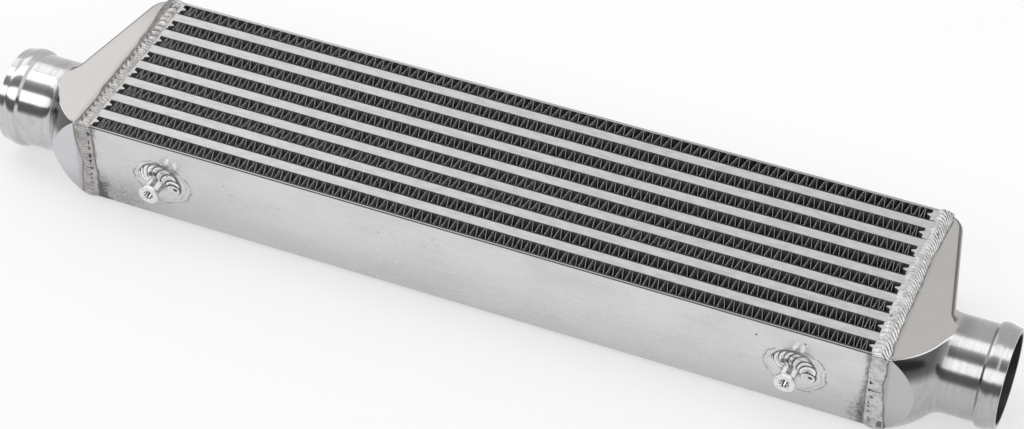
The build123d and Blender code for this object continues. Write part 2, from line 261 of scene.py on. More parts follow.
class Finish:
    """A material under construction, with its surface's place in millimetres as x, y and z."""

    def __init__(self, name, **constants):
        self.material = bpy.data.materials.new(name)
        self.material.use_nodes = True
        self.tree = self.material.node_tree
        self.tree.nodes.clear()
        self.shader = self.add("ShaderNodeBsdfPrincipled")
        self.skin = Wire(self, self.shader.outputs[0])
        self.output = self.add("ShaderNodeOutputMaterial", {}, {"Surface": self.skin})
        self.use(**constants)
        self.place = self.node("ShaderNodeTexCoord", {}, {}, "Object")
        parts = self.add("ShaderNodeSeparateXYZ", {}, {0: self.place}).outputs
        self.x, self.y, self.z = (Wire(self, part) * (1 / MM) for part in parts)

    def feed(self, socket, value):
        """Links a wire to a socket, or sets the socket's own value."""
        if isinstance(value, Wire):
            self.tree.links.new(value.socket, socket)
        else:
            socket.default_value = value

    def add(self, kind, settings=None, values=None):
        """A node of that type: its settings first, then its sockets' values or wires."""
        node = self.tree.nodes.new(kind)
        for key, value in (settings or {}).items():
            setattr(node, key, value)
        for key, value in (values or {}).items():
            self.feed(node.inputs[key], value)
        return node

    def node(self, kind, settings, values, output=0):
        """The wire from an output of such a node."""
        return Wire(self, self.add(kind, settings, values).outputs[output])

    def maths(self, operation, *values):
        return self.node("ShaderNodeMath", {"operation": operation}, dict(enumerate(values)))

    def noise(self, size, detail, stretch=(1, 1, 1), roughness=0.55, distortion=0.0):
        """Noise whose grain is about size millimetres, stretched along x, y and z."""
        scale = tuple(1.0 / (size * MM * s) for s in stretch)
        values = {
            "Vector": self.node("ShaderNodeMapping", {}, {"Vector": self.place, "Scale": scale}),
            "Scale": 1.0,
            "Detail": detail,
            "Roughness": roughness,
            "Distortion": distortion,
        }
        return self.node("ShaderNodeTexNoise", {}, values)

    def mark(self, label):
        """A value painted on the mesh's points."""
        return self.node("ShaderNodeAttribute", {"attribute_name": label}, {}, "Fac")

    def blend(self, mask, low, high):
        """The colour low where mask is 0 and high where it is 1; a bare number is a grey."""
        greys = [(c, c, c) if isinstance(c, float) else c for c in (low, high)]
        low, high = (c if isinstance(c, Wire) else (*c, 1.0) for c in greys)
        # the colour sockets of a Mix node are its inputs 6 and 7 and its output 2
        return self.node("ShaderNodeMix", {"data_type": "RGBA"}, {0: mask, 6: low, 7: high}, 2)

    def use(self, **sockets):
        """Feeds the shader's sockets, which are named here with underscores."""
        for label, value in sockets.items():
            self.feed(self.shader.inputs[label.replace("_", " ")], value)
        return self

    def relief(self, height, depth):
        """Bumps of that depth in millimetres, from a height that runs from 0 to 1."""
        values = {"Strength": 1.0, "Distance": depth * MM, "Height": height}
        return self.use(Normal=self.node("ShaderNodeBump", {}, values))


def flat_distance(f, x, z):
    """Distance in the plane of the front plate from (x, z)."""
    across, up = f.x - x, f.z - z
    return (across * across + up * up).root()


def toned(colour, factor):
    """A colour made lighter or darker, never past white."""
    return tuple(min(1.0, part * factor) for part in colour)


# ---------------------------------------------------------------- finishes


def seam_soot(f, speckle):
    """Soot on a side plate beside the seams: a ragged band, wider and darker towards the bottom."""
    lower = f.z.rise(32.0, 6.0)
    ragged = abs(f.x) + (f.noise(3.2, 5, roughness=0.75) - 0.5) * 7.5 + (f.noise(11, 2) - 0.5) * 7.0
    ragged = ragged + lower * 2.5
    patchy = f.noise(4.5, 3).rise(0.34, 0.58)
    band = ragged.rise(SEAM - 10.7, SEAM - 6.9) * (0.5 + 0.25 * patchy + 0.25 * lower)
    fringe = (ragged + (speckle - 0.5) * 12.0).rise(SEAM - 17.5, SEAM - 8.5)
    return band.higher_of(fringe * (0.05 + 0.7 * lower * patchy))


def etched_rings(f):
    """Masks of the etched field round each boss and of the lines along its wandering edge.

    The field is an ellipse about 2.6 mm right of the boss, its long axis turned by 15 degrees.
    """
    cosine, sine = 0.966, 0.259
    wobble = (f.noise(11, 3) - 0.5) * 6.0
    fields, lines = 0.0, 0.0
    for side in HANDS:
        across, up = f.x - (side * BOSS_X + 2.6), f.z - (AXIS_Z - 0.3)
        long, wide = (across * cosine - up * sine) * 0.8, across * sine + up * cosine
        ring = (long * long + wide * wide).root() + wobble
        fields = ring.rise(17.2, 16.0) + fields
        outer, inner = abs(ring - 16.6), abs(ring - 14.2 + wobble * 0.5)
        lines = outer.rise(1.1, 0.1) + inner.rise(0.9, 0.1) * 0.5 + lines
    return fields, lines


def painted_light_strokes(f):
    """Mask of the painted light strokes: upright ellipses that lean along x."""
    strokes = 0.0
    for x, z, lean in PAINTED_LIGHT_STROKES:
        aside, up = (f.x - x - (f.z - z) * lean) / 1.8, (f.z - z) / 4.6
        strokes = (aside * aside + up * up).root().rise(1.1, 0.45) + strokes
    return strokes


def front_plate_finish():
    """Rolled side plate: satin, clouded, sooted by the end welds and etched round the bosses, with painted
    light above the bosses and painted shade towards the bottom.
    """
    f = Finish("satin_side_plate")
    clouds = f.noise(45, 3, (1.6, 1, 0.7))
    rose = f.noise(70, 2, distortion=0.6)
    grain = f.noise(0.9, 4, (14, 1, 1))
    speckle = f.noise(1.1, 5, roughness=0.7)
    metal = f.blend(clouds.rise(0.3, 0.7), 0.64, 0.73)
    metal = f.blend(rose.rise(0.52, 0.75) * 0.5, metal, (0.73, 0.69, 0.695))
    metal = f.blend(rose.rise(0.48, 0.25) * 0.4, metal, (0.66, 0.70, 0.65))
    metal = f.blend(grain.rise(0.35, 0.75) * 0.25, metal, (0.55, 0.55, 0.56))
    # painted shade: darker towards the bottom, where the plate reflects the shadowed floor beside it, most
    # of all at the right end
    darkening = f.z.rise(46.0, 0.0) * (0.34 + 0.3 * f.x.rise(150.0, 250.0))
    metal = f.blend(darkening, metal, (0.47, 0.47, 0.475))
    # soot beside the seams, and a stain in the lower left corner
    stain = f.x.rise(-204.0, -256.0) * f.z.rise(33.0, 6.0)
    stain = stain * (0.3 + 0.7 * f.noise(1.9, 5, roughness=0.8).rise(0.40, 0.62)) * 0.62
    dirt = (seam_soot(f, speckle) + stain).lower_of(1.0)
    metal = f.blend(dirt * 0.92, metal, (0.13, 0.13, 0.127))
    fields, lines = etched_rings(f)
    metal = f.blend(fields * 0.3, metal, (0.82, 0.81, 0.86))
    metal = f.blend(lines * 0.75 * f.noise(5, 3).rise(0.34, 0.6), metal, (0.24, 0.24, 0.25))
    # painted light: bright strokes above each boss, where its neck throws lamp light onto the plate
    strokes = painted_light_strokes(f)
    metal = f.blend(strokes * 0.85, metal, PAINTED_HIGHLIGHT_WHITE)
    specks = 0.0
    for x, z, size in SPECKS:
        specks = flat_distance(f, x, z).rise(size, size * 0.45) + specks
    metal = f.blend(specks.lower_of(1.0), metal, NEAR_BLACK)
    # the ground top edge, between a brink in front painted dark as the dark reflection in its rounded
    # edge, and a dark joint behind
    ground = f.z.rise(DEPTH - 0.35, DEPTH - 0.1)
    brink = f.z.rise(DEPTH - 0.9, DEPTH - 0.6) * f.y.rise(FRONT + 0.7, FRONT + 0.45)
    metal = f.blend(ground, metal, 0.43)
    metal = f.blend(brink * 0.9, metal, NEAR_BLACK)
    metal = f.blend(ground * f.y.rise(FRONT + 1.15, FRONT + 1.45), metal, 0.05)
    rough = 0.2 + clouds * 0.09 + dirt * 0.3 + grain * 0.06
    bump = grain * 0.5 + speckle * (0.25 + dirt * 2.0) + f.noise(6, 2) * 1.2 - specks * 6.0
    # the painted light strokes are less metallic, so their white shows
    shine = 1.0 - strokes.lower_of(1.0) * 0.6
    return f.use(Base_Color=metal, Metallic=shine, Roughness=rough).relief(bump, 0.02).material


def back_plate_finish():
    """The same plate without bosses: satin, clouded, with soot beside the seams."""
    f = Finish("satin_back_plate", Metallic=1.0)
    clouds = f.noise(45, 3, (1.6, 1, 0.7))
    grain = f.noise(0.9, 4, (14, 1, 1))
    speckle = f.noise(1.1, 5, roughness=0.7)
    metal = f.blend(clouds.rise(0.3, 0.7), 0.60, (0.69, 0.69, 0.685))
    metal = f.blend(grain.rise(0.35, 0.75) * 0.25, metal, (0.52, 0.52, 0.53))
    soot = seam_soot(f, speckle)
    metal = f.blend(soot * 0.9, metal, (0.15, 0.15, 0.147))
    metal = f.blend(f.z.rise(DEPTH - 0.35, DEPTH - 0.1), metal, 0.38)
    rough = 0.2 + clouds * 0.09 + soot * 0.3 + grain * 0.06
    bump = grain * 0.5 + speckle * (0.25 + soot * 2.0) + f.noise(6, 2) * 1.2
    return f.use(Base_Color=metal, Roughness=rough).relief(bump, 0.02).material


def ground_finish(name, tone):
    """Bars and sheets ground flush: fine scratches along x on the faces, dull grey between them."""
    f = Finish(name)
    scratch = f.noise(0.35, 3, (40, 1, 1))
    mottle = f.noise(3.0, 4, (3, 1, 1))
    sweep = f.noise(60, 2)
    fleck = f.noise(1.5, 3, roughness=0.7)
    light, dark = toned(tone, 1.08), toned(tone, 0.88)
    metal = f.blend(mottle.rise(0.3, 0.7), dark, light)
    metal = f.blend(scratch.rise(0.55, 0.75) * 0.3, metal, toned(tone, 0.75))
    metal = f.blend(sweep.rise(0.35, 0.7) * 0.3, metal, light)
    metal = f.blend(fleck.rise(0.52, 0.7) * 0.3, metal, dark)
    metal = f.blend(fleck.rise(0.48, 0.3) * 0.4, metal, toned(tone, 1.2))
    # a bar's dark brink towards the sheet behind it, and the hidden faces between the layers
    behind = ((f.y - FIRST_ROW + 0.8) / ROW_PITCH).fraction()
    behind = behind.rise(1.0 - 0.5 / ROW_PITCH, 1.0 - 0.25 / ROW_PITCH)
    metal = f.blend(behind * abs(f.x).rise(270.3, 269.9), metal, 0.05)
    inside = abs(f.z - AXIS_Z).rise(AXIS_Z - 0.05, AXIS_Z - 0.45)
    metal = f.blend(inside, metal, 0.12)
    rough = 0.34 + mottle * 0.12 + scratch * 0.05
    f.use(Base_Color=metal, Metallic=1.0 - inside * 0.85, Roughness=rough)
    return f.relief(scratch * 0.5 + mottle, 0.025).material


def fin_finish():
    """Folded fin: fluxed walls painted dark grey and little metallic as the shade down the narrow
    channels, with the sheared edges left a little brighter and painted highlights on the listed folds.
    """
    f = Finish("folded_fin", Roughness=0.5)
    from_middle = abs(f.z - AXIS_Z)
    rag = (f.noise(1.5, 2) - 0.5) * 0.3
    edge = (from_middle + rag).rise(30.95, 31.1)
    # painted highlights on the listed folds
    painted_fold_light = (from_middle + rag * 4.0 + f.mark("lit_fold") * 4.5).rise(31.3, 32.4)
    streaks = f.noise(0.7, 3, (1, 1, 6))
    flux = f.noise(0.9, 3)
    # painted shade: the walls dark grey with streaks, for the shade down the channels between them
    metal = f.blend(streaks.rise(0.38, 0.62), 0.07, 0.34)
    metal = f.blend(f.mark("crest").rise(0.8, 1.0), metal, 0.18)
    metal = f.blend(flux.rise(0.5, 0.75) * 0.4, metal, 0.28)
    metal = f.blend(painted_fold_light * 0.7, metal, 0.75)
    metal = f.blend(edge, metal, 0.50)
    shine = 0.12 + (edge + painted_fold_light).lower_of(1.0) * 0.88
    return f.use(Base_Color=metal, Metallic=shine).relief(f.noise(0.8, 3), 0.03).material


# Each tank's look: the dark and light shades of its cast faces, front face and polished metal;
# where along y from the spigot's axis the polish turns darker; how much darker the spigot turns,
# and how much more the flare; and how much smoother than the cast faces the polish is
TANK_LOOKS = {
    -1: {
        "cast": ((0.455, 0.437, 0.43), (0.505, 0.488, 0.48)),
        "front_face": ((0.61, 0.61, 0.635), (0.66, 0.66, 0.69)),
        "polished": ((0.54, 0.54, 0.55), (0.60, 0.60, 0.61)),
        "dull_from": (-1.0, 5.0),
        "darkening": 0.35,
        "duller_flare": 0.15,
        "smoother": 0.24,
    },
    1: {
        "cast": ((0.40, 0.385, 0.37), (0.455, 0.44, 0.425)),
        "front_face": ((0.50, 0.50, 0.505), (0.55, 0.55, 0.56)),
        "polished": ((0.43, 0.43, 0.435), (0.48, 0.48, 0.485)),
        "dull_from": (-9.0, -2.0),
        "darkening": 0.42,
        "duller_flare": 0.3,
        "smoother": 0.21,
    },
}


def tank_finish(side):
    """Cast tank: satin flat faces, a polished flare and spigot with turning lines, and a bore painted dark
    as the shade inside it.
    """
    f = Finish(f"cast_tank_{HANDS[side]}", Metallic=1.0)
    look = TANK_LOOKS[side]
    reach = abs(f.x)
    out, up = f.y - AXIS_Y, f.z - AXIS_Z
    radius, half_height = (out * out + up * up).root(), abs(up)
    # the flat upper and lower faces, the spigot, the flat front face and the front half
    flat = half_height.rise(AXIS_Z - 0.2, AXIS_Z - 0.03) * (1.0 - reach.rise(311.5, 313.5))
    pipe = reach.rise(309.0, 316.0)
    facet = f.y.rise(FRONT + 0.25, FRONT + 0.05)
    front = f.y.rise(AXIS_Y + 1.0, AXIS_Y - 2.0)
    polish = (pipe + front * (1.0 - facet)).lower_of(1.0) * (1.0 - flat)
    bore = radius.rise(30.6, 29.6) * reach.rise(290.0, 300.0)
    clouds = f.noise(18, 3)
    fine = f.noise(0.45, 4, roughness=0.65)
    turned = f.noise(0.5, 4, (1, 60, 60))
    streak = f.noise(1.6, 3, (1, 14, 14))
    cast = f.blend(clouds, *look["cast"])
    if side < 0:
        cast = f.blend(f.y.rise(25.0, 70.0) * 0.4, cast, (0.25, 0.24, 0.235))
    front_face = f.blend(clouds, *look["front_face"])
    # painted shade: the front face darker towards the bottom, where it reflects the shadowed floor
    front_face = f.blend(f.z.rise(26.0, 2.0) * 0.5, front_face, 0.40)
    cast = f.blend(facet, cast, front_face)
    bright = f.blend(streak.rise(0.35, 0.7), *look["polished"])
    # the polish darker behind the spigot's axis, and more so on the flare
    darker_behind = f.y.rise(*(AXIS_Y + place for place in look["dull_from"]))
    darker_behind = darker_behind * (look["darkening"] + look["duller_flare"] * reach.rise(326.0, 316.0))
    bright = f.blend(darker_behind, bright, 0.20)
    bright = f.blend(f.noise(7, 4, roughness=0.65).rise(0.52, 0.72) * 0.3, bright, 0.25)
    # the corner between the flat top, the front face and the flare holds a painted dark reflection
    corner = reach.rise(281.0, 286.0) * reach.rise(319.0, 304.0)
    corner = corner * f.z.rise(44.0, 53.0) * f.y.rise(-34.0, -44.0)
    bright = f.blend(corner * 0.88, bright, (0.06, 0.06, 0.063))
    metal = f.blend(polish, cast, bright)
    # the crease round the flat faces: a painted highlight line in front, and a painted shade line behind,
    # where the side wall falls away from the light
    rim = (1.0 - half_height.rise(AXIS_Z - 0.25, AXIS_Z - 0.15)) * (1.0 - reach.rise(309.0, 312.0))
    metal = f.blend(half_height.rise(30.7, 31.05) * rim * front, metal, 0.95)
    metal = f.blend(half_height.rise(30.0, 30.8) * rim * (1.0 - front) * 0.8, metal, 0.08)
    # an etched line beside the weld
    line = (reach + (f.noise(7, 3) - 0.5) * 2.2).rise(SEAM + 8.0, SEAM + 5.0)
    metal = f.blend(line * 0.35, metal, (0.25, 0.24, 0.23))
    # painted shade: the bore near black inside the spigot
    metal = f.blend(bore, metal, (0.075, 0.075, 0.085))
    rough = 0.34 - polish * look["smoother"] + clouds * 0.05 + turned * polish * 0.03 + bore * 0.3
    bump = fine * (1.0 - polish * 0.85) + turned * polish * 0.1 + f.noise(5, 2) * 0.8
    return f.use(Base_Color=metal, Roughness=rough).relief(bump, 0.018).material


def bead_finish(name, low, high, shine, roughcast):
    """Weld metal, darkened where the mesh's mark is above 0, by soot and by painted shade, and given a
    painted highlight where it is below.
    """
    f = Finish(name, Metallic=1.0)
    soot = f.mark("soot")
    grain = f.noise(0.7, 4, roughness=0.65)
    patch = f.noise(4.5, 3)
    scale = f.noise(2.1, 4, roughness=0.7)
    metal = f.blend(patch.rise(0.3, 0.7), low, high)
    metal = f.blend(grain.rise(0.55, 0.8) * 0.5 * roughcast, metal, 0.2)
    metal = f.blend(scale.rise(0.56, 0.74) * 0.55 * roughcast, metal, (0.16, 0.155, 0.15))
    # painted highlights where the mark is below 0
    metal = f.blend(soot.rise(0.0, -1.0), metal, PAINTED_HIGHLIGHT_WHITE)
    metal = f.blend(soot.higher_of(0.0), metal, NEAR_BLACK)
    rough = shine + patch * 0.1 + soot.higher_of(0.0) * 0.25
    bump = grain + f.noise(1.8, 3) * 1.5
    return f.use(Base_Color=metal, Roughness=rough).relief(bump, 0.06 * roughcast).material


def turned_finish():
    """Turned boss: bright, with fine tool rings, two painted lamp reflections along its neck, and a hole
    painted white near its mouth, near black deeper in and with dark painted flutes.
    """
    f = Finish("turned_boss")
    rings = f.noise(0.22, 3, (30, 1, 30))
    face = f.noise(2.5, 3)
    deep = f.y.rise(FRONT - 11.0, FRONT - 6.0)
    hole, painted_flutes, streaks = 0.0, 0.0, 0.0
    for side in HANDS:
        away = flat_distance(f, side * BOSS_X, AXIS_Z)
        inside, near = away.rise(3.5, 3.2), away.rise(12.0, 10.0)
        turn = f.maths("ARCTAN2", f.z - AXIS_Z, f.x - side * BOSS_X)
        hole = inside + hole
        painted_flutes = inside * f.maths("SINE", turn * 9.0 + 0.6).rise(-0.1, 0.35) + painted_flutes
        # two painted lamp reflections along the neck, up left and up right
        upper_left, upper_right = (abs(turn - heading).rise(0.44, 0.24) for heading in (2.11, 0.74))
        streaks = near * (upper_left + upper_right) + streaks
    streaks = streaks.lower_of(1.0)
    neck = f.y.rise(FRONT - 13.0, FRONT - 12.0) * (1.0 - hole)
    metal = f.blend(face.rise(0.35, 0.7), 0.70, 0.84)
    metal = f.blend(neck, metal, f.blend(streaks, (0.42, 0.42, 0.44), 1.0))
    # the hole painted white near its mouth for the light let in, and near black deeper in as painted shade
    metal = f.blend(hole, metal, f.blend(deep, 1.0, NEAR_BLACK))
    # dark flutes in the hole: painted reflections of the dark gaps between the lamps
    metal = f.blend(painted_flutes * 0.95, metal, 0.02)
    rough = 0.14 + rings * 0.1 + neck * 0.12
    # the painted lamp reflections are less metallic, so their white shows
    f.use(Base_Color=metal, Metallic=1.0 - neck * streaks * 0.9, Roughness=rough)
    return f.relief(rings + face, 0.012).material


# ---------------------------------------------------------------- fins and bars


def fin_strip(row, finish):
    """One strip folded to and fro across its row.

    Each wave is a low crest, a rising wall, a high crest and a falling wall. The walls lean along
    x by the row's two lengths, give or take a drift, and the crests share what is left of the
    wave's length, which shrinks towards the strip's ends. The strip is that line moved half its
    gauge along its normal to either side, drawn through the depth of the core, with a slightly
    uneven sheared edge.
    """
    waves = FIN_WAVES[row]
    draw = np.random.default_rng(400 + row)
    wave = np.arange(waves)
    rise, fall = (
        lean * (1 + 0.1 * wander(wave / waves, 460 + row + 10 * k, 16)) + draw.normal(0, 0.16, waves)
        for k, lean in enumerate(FIN_LEANS[row])
    )
    length = 2 * FIN_REACH / waves * (1 + draw.normal(0, 0.045, waves))
    near = np.minimum(wave, waves - 1 - wave)
    squeeze, squeezed = draw.uniform(0.25, 0.55), draw.uniform(1.0, 2.6)
    length = length * (1 - squeeze * np.exp(-near / squeezed))
    length = length * 2 * FIN_REACH / length.sum()
    ease = length * waves / (2 * FIN_REACH)
    rise, fall = np.clip(rise, 0.1, None) * ease, np.clip(fall, 0.1, None) * ease
    crest = (length - rise - fall) / 2
    start = -FIN_REACH + np.concatenate(([0.0], np.cumsum(length)[:-1]))
    x = start[:, None] + np.stack((crest, rise, fall), axis=1) @ FOLD_X
    x = np.append(x.ravel(), FIN_REACH)
    high = np.append(np.tile(FOLD_Y, waves), -1.0)
    # the crests sink a little into the braze on the sheets
    y = ROW_MIDDLES[row] + (ROW_HEIGHT / 2 + 0.08) * high
    along, across = np.gradient(x), np.gradient(y)
    pace = np.hypot(along, across)
    aside_x, aside_y = -across / pace * FIN_GAUGE / 2, along / pace * FIN_GAUGE / 2
    turn = np.arange(len(x)) / FOLD_Y.size
    top = FIN_TOP + 0.16 * lumps(turn * 2, np.full_like(turn, 0.5), 440 + row, 2 * waves + 2)
    low = np.full_like(top, FIN_LOW)
    points, quads = capped_strip(
        [
            (x + aside_x, y + aside_y, top),
            (x - aside_x, y - aside_y, top),
            (x - aside_x, y - aside_y, low),
            (x + aside_x, y + aside_y, low),
        ]
    )
    # painted highlights on the listed folds, carried to the material as a mark
    lit_fold = np.zeros(len(x))
    for number, at, reach, amount in PAINTED_LIT_FOLDS:
        if number == row + 1:
            lit_fold = lit_fold + amount * np.exp(-(((x - at) / reach) ** 2))
    lit_fold = lit_fold * (0.6 + 0.4 * np.sin(turn * 15))
    marks = {"lit_fold": np.repeat(lit_fold, 4), "crest": np.repeat(np.abs(high), 4)}
    name, node = f"fin_strip_{row + 1}", f"cooling_fin_{row + 1}"
    make_piece(name, points, quads, finish, node, marks)


def end_bars(side, finish):
    """The bars that close one end of the cooling rows, each with a short tooth towards its fins.

    The inner face of a bar is x as a function of the place y across the row, in straight runs.
    It is drawn through the depth of the core and joined to a plane at the seam.
    """
    place = np.array([-4.75, -1.75, -1.45, -0.35, 0.35, 1.45, 1.75, 4.75])
    inner = SEAM - np.array([6.8, 6.8, 7.3, 9.7, 9.7, 7.3, 6.8, 6.8])
    outer = np.full_like(inner, SEAM - 0.1)
    top, low = np.full_like(inner, DEPTH), np.zeros_like(inner)
    edges = [(inner, place, top), (inner, place, low), (outer, place, low), (outer, place, top)]
    bar, quads = capped_strip(edges)
    points = np.repeat(bar[None], ROWS, axis=0)
    points[..., 1] += ROW_MIDDLES[:, None]
    quads = (quads[None] + len(bar) * np.arange(ROWS)[:, None, None]).reshape(-1, 4)
    hand = HANDS[side]
    make_piece(
        f"end_bars_of_{hand}", points * (side, 1, 1), quads, finish, f"end_bars_{hand}"
    )


# ---------------------------------------------------------------- seam welds


def seam_path(count, corner=1.4):
    """The core's outline with rounded corners, run once round from the front lower corner.

    Straight runs and quarter turns follow each other at an even pace: a point lies a corner's
    radius out from the middle of the last corner, plus the way gone along a straight run.
    Returns y, z, the outward normal, the distance run and its total.
    """
    wide, deep, turn = BACK - FRONT - 2 * corner, DEPTH - 2 * corner, corner * np.pi / 2
    legs = np.array([wide, turn, deep, turn, wide, turn, deep, turn])
    ends = np.cumsum(legs)
    total = ends[-1]
    s = np.arange(count) * total / count
    leg = np.searchsorted(ends, s, side="right")
    gone = s - (ends - legs)[leg]
    quarter, turning = leg // 2, leg % 2
    heading = quarter * np.pi / 2
    normal = heading - np.pi / 2 + turning * gone / corner
    front, back, low, top = FRONT + corner, BACK - corner, corner, DEPTH - corner
    middles = np.array([(back, low), (back, top), (front, top), (front, low)])
    middle_y, middle_z = middles[quarter - 1 + turning].T
    run = (1 - turning) * gone
    out_y, out_z = np.cos(normal), np.sin(normal)
    y = middle_y + corner * out_y + run * np.cos(heading)
    z = middle_z + corner * out_z + run * np.sin(heading)
    return y, z, out_y, out_z, s, total


# Toes of the seam beads, as distances from the seam: towards the core and towards the tank. On the
# top they are given along y, on the front along z.
TOES = {
    1: {
        "core_top": ([-70, 20, 45, 70], [-6.0, -5.8, -3.2, -2.4]),
        "tank_top": ([-70, -55, 20, 45, 62, 70], [6.4, 5.2, 5.2, 6.2, 7.6, 6.0]),
        "core_front": ([0, 30, 64], [-6.4, -6.6, -6.2]),
        "tank_front": ([0, 5, 15, 28, 40, 64], [8.2, 7.8, 6.2, 5.0, 4.4, 5.6]),
    },
    -1: {
        "core_top": ([-70, 30, 70], [-5.6, -5.4, -4.6]),
        "tank_top": ([-70, -40, 15, 35, 60, 70], [4.6, 3.9, 4.0, 5.2, 6.8, 6.0]),
        "core_front": ([0, 20, 64], [-7.6, -7.8, -7.4]),
        "tank_front": ([0, 20, 30, 43, 62], [4.6, 4.0, 3.2, 5.0, 6.2]),
    },
}
# Pits, blobs and cracks of the seam beads: face, place along it, distance from the seam, length
# along, width across, depth (negative stands up) and soot
FLAWS = {
    1: (
        ("top", 42.5, 3.6, 0.8, 0.7, 0.35, 0.9), ("top", 46.0, 2.1, 1.2, 0.6, 0.35, 0.9),
        ("top", -1.0, 5.9, 2.2, 1.6, -0.7, 0.35), ("top", 30.0, -0.5, 0.6, 0.5, 0.2, 0.6),
        ("top", -50.0, -4.6, 0.9, 0.7, 0.2, 0.6), ("top", -34.0, -4.4, 1.6, 0.8, 0.25, 0.7),
        ("front", 39.6, -4.1, 1.6, 1.1, 0.5, 1.0), ("front", 32.6, -4.7, 1.0, 0.8, 0.5, 1.0),
        ("front", 33.0, -1.0, 0.55, 4.6, 0.3, 0.7), ("front", 27.3, -2.6, 0.8, 1.3, 0.35, 0.8),
        ("front", 21.6, -4.2, 1.2, 0.5, 0.4, 0.9), ("front", 18.2, -3.9, 0.8, 0.8, 0.4, 0.9),
        ("front", 14.0, -3.6, 1.0, 0.6, 0.35, 0.8), ("front", 43.5, -4.6, 0.5, 0.5, 0.3, 0.8),
        ("front", 7.0, -2.5, 2.4, 1.4, 0.25, 0.5), ("front", 5.0, 4.5, 3.0, 1.6, 0.3, 0.7),
    ),
    -1: (
        ("front", 57.0, -5.0, 1.8, 0.9, 0.5, 1.0), ("front", 49.6, -4.7, 1.8, 0.7, 0.5, 1.0),
        ("front", 44.4, -4.5, 1.5, 0.7, 0.5, 1.0), ("front", 37.6, -4.4, 2.0, 0.9, 0.5, 1.0),
        ("front", 32.6, -4.1, 1.2, 0.8, 0.5, 1.0), ("front", 26.4, -4.3, 1.6, 1.0, 0.5, 1.0),
        ("front", 20.8, -3.8, 0.9, 0.7, 0.4, 0.9), ("front", 17.2, -3.5, 0.7, 0.8, 0.4, 0.9),
        ("front", 54.0, 3.6, 5.0, 1.6, 0.1, 0.45), ("top", 62.0, 1.0, 2.2, 1.0, 0.4, 0.8),
    ),
}
# How strongly each seam bead's painted highlights show beside its ripples
PAINTED_HIGHLIGHT_STRENGTH = {-1: 0.25, 1: 0.45}


def seam_ripples(side, top, front, rest, across, y, z):
    """Pitch of a seam bead's beats, the arc that bends them, their boldness and the roughness.

    Each is mixed from what it is on the top, on the front and elsewhere. The arc grows with the
    square of the distance across, or on the top of the right bead with its power 1.5.
    """
    if side > 0:
        pitch = top * (2.9 + 0.8 * smooth(-24, -36, y)) + front * 2.5 + rest * 2.4
        arc = top * 0.52 * np.clip(across + 1.0, 0, None) ** 1.5 + (front + rest) * 0.09 * across**2
        strokes = smooth(-0.5, 1.2, across) * smooth(6.5, 4.0, across)
        bold_top = 0.11 + (0.6 + 0.2 * smooth(-22, -34, y)) * strokes
        return pitch, arc, top * bold_top + front * 0.06 + rest * 0.24, 0.17 + 0.04 * front
    pitch_top, pitch_front = 2.6 + 2.6 * smooth(18, 30, y), 2.2 + 1.2 * smooth(40, 30, z)
    arc_top, arc_front = 0.5 * across + 0.08 * across**2, -0.11 * (across + 1.6) ** 2
    bold_top, bold_front = 0.20 + 0.12 * smooth(10, 25, y), 0.2 * smooth(-5.2, -3.4, across)
    pitch = top * pitch_top + front * pitch_front + rest * 2.4
    arc = front * arc_front + top * arc_top + rest * 0.09 * across**2
    return pitch, arc, top * bold_top + front * bold_front + rest * 0.2, 0.10 + 0.14 * top


